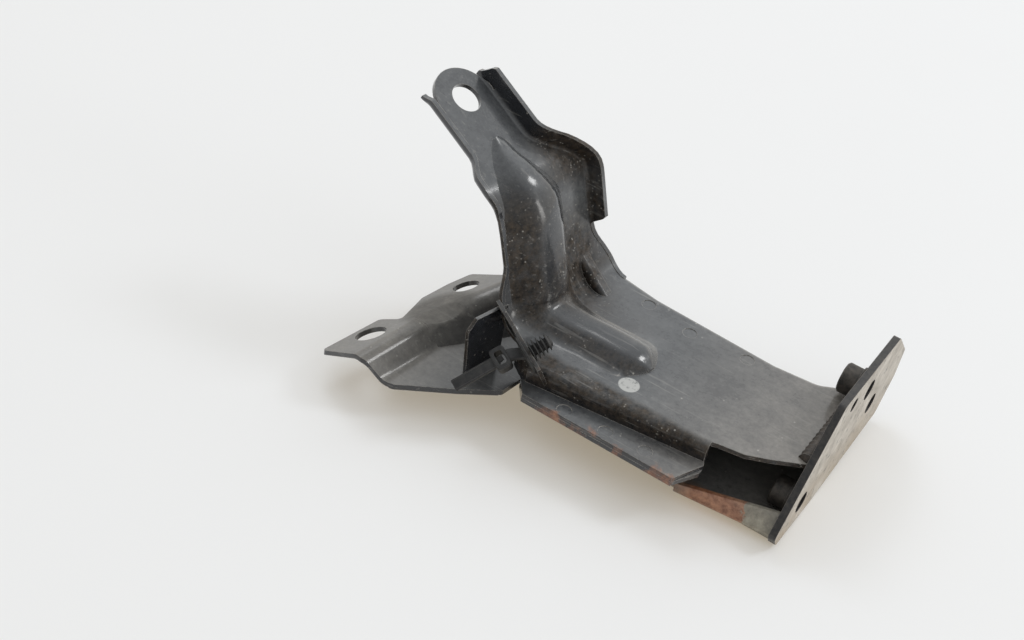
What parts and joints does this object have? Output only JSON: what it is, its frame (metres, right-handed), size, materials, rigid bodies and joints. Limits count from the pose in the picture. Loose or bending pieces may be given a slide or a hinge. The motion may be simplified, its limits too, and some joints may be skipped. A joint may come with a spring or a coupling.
{
  "type": "radiator mounting bracket",
  "caption": "Welded sheet steel bracket: box with a rising ribbed arm and eye, two foot ears and a bolted end plate with weld nuts.",
  "frame": {"origin": "centre of the upper bolt hole at the outer face of the end plate", "axes": "+X out of the end plate's outer face, +Z square to the top plate, upwards, +Y towards the long end of the end plate"},
  "size_m": [0.1915, 0.1493, 0.1102],
  "materials": {
    "black_paint": "semi-gloss, dusty and scratched",
    "dusty_paint": "matt, dusty",
    "weld_metal": "rough, painted over",
    "nut_steel": "dull",
    "black_nylon": "matt"
  },
  "bodies": {
    "root": {"arm_pressing": "black_paint", "tray_pressing": "black_paint", "foot_pressing": "black_paint", "clip_plate": "black_paint", "cable_tie": "black_nylon", "end_plate": "dusty_paint", "end_plate_welds": "weld_metal", "upper_weld_nut": "nut_steel", "lower_weld_nut": "nut_steel"}
  },
  "joints": []
}
